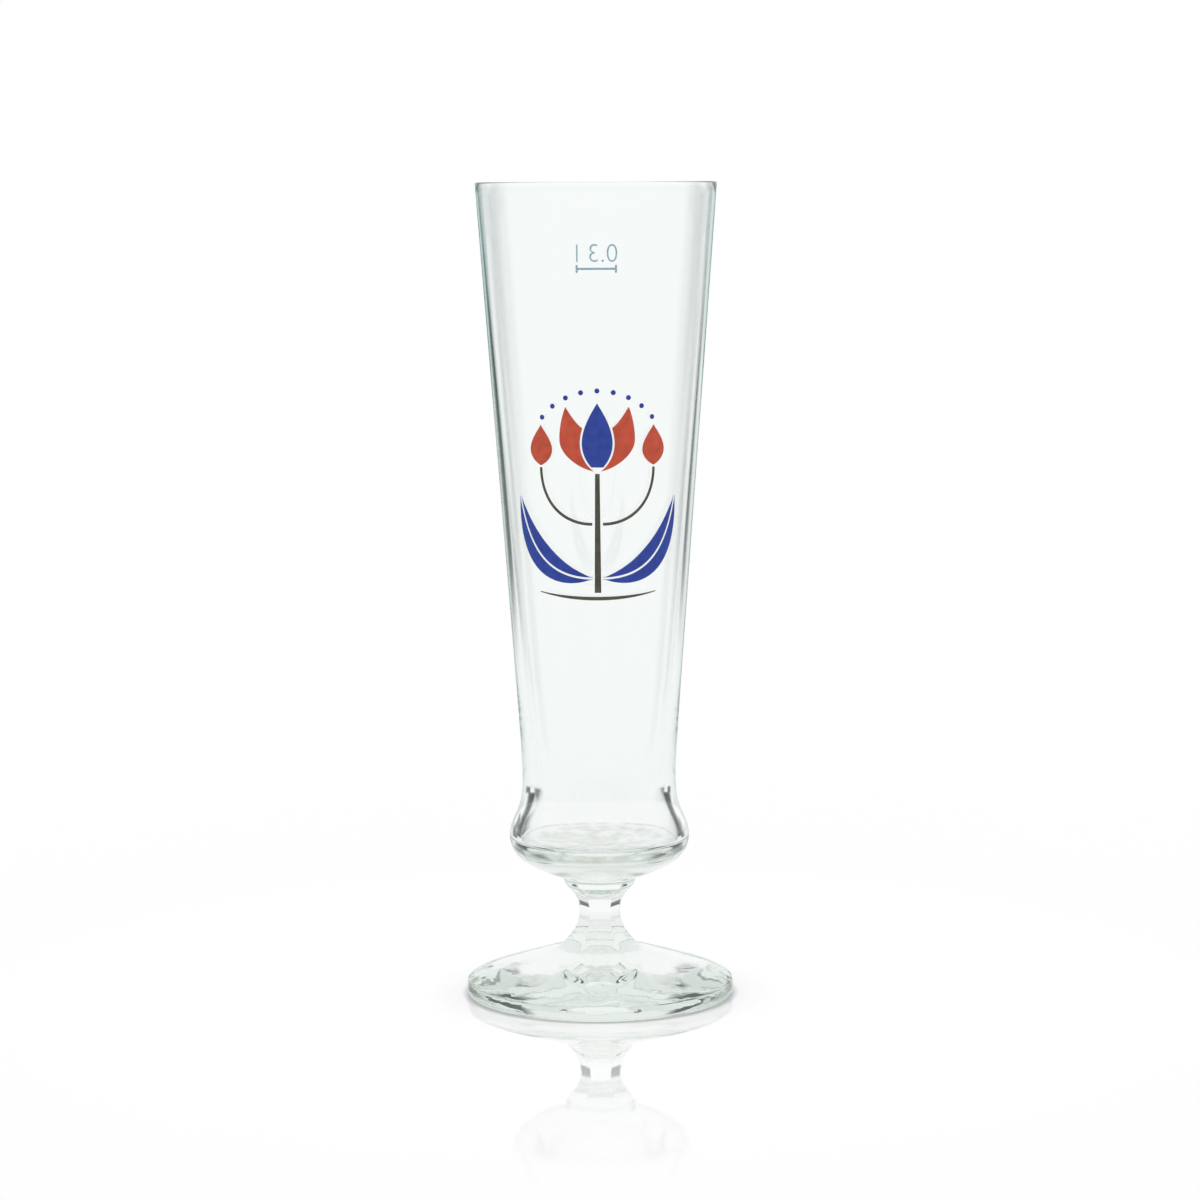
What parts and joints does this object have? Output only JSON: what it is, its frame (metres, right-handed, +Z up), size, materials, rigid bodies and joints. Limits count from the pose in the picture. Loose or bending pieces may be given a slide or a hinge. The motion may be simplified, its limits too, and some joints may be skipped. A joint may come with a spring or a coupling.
{
  "type": "footed tulip beer glass",
  "caption": "Tall footed beer glass: tapered tulip bowl with a waist and bulb, short panelled stem, domed round foot, fired enamel print on the front and a level line on the back.",
  "frame": {"origin": "middle of the base, on the plane that the glass stands on", "axes": "+Z up along the axis of the glass, -Y towards the side with the print"},
  "size_m": [0.0758, 0.0758, 0.229],
  "materials": {
    "clear_glass": "clear, fire-polished, faint green in thick places",
    "enamel_brick": "fired enamel, semi-gloss",
    "enamel_blue": "fired enamel, semi-gloss",
    "enamel_olive": "fired enamel, semi-gloss",
    "enamel_pale_blue": "fired enamel, thin"
  },
  "bodies": {
    "root": {"bowl": "clear_glass", "stem": "clear_glass", "foot": "clear_glass", "fill_line": "enamel_pale_blue", "print_heart": "enamel_blue", "print_stalk": "enamel_olive", "print_ground": "enamel_olive", "print_petal_left": "enamel_brick", "print_leaf_left": "enamel_blue", "print_twig_left": "enamel_olive", "print_bud_left": "enamel_brick", "print_petal_right": "enamel_brick", "print_leaf_right": "enamel_blue", "print_twig_right": "enamel_olive", "print_bud_right": "enamel_brick"}
  },
  "joints": []
}
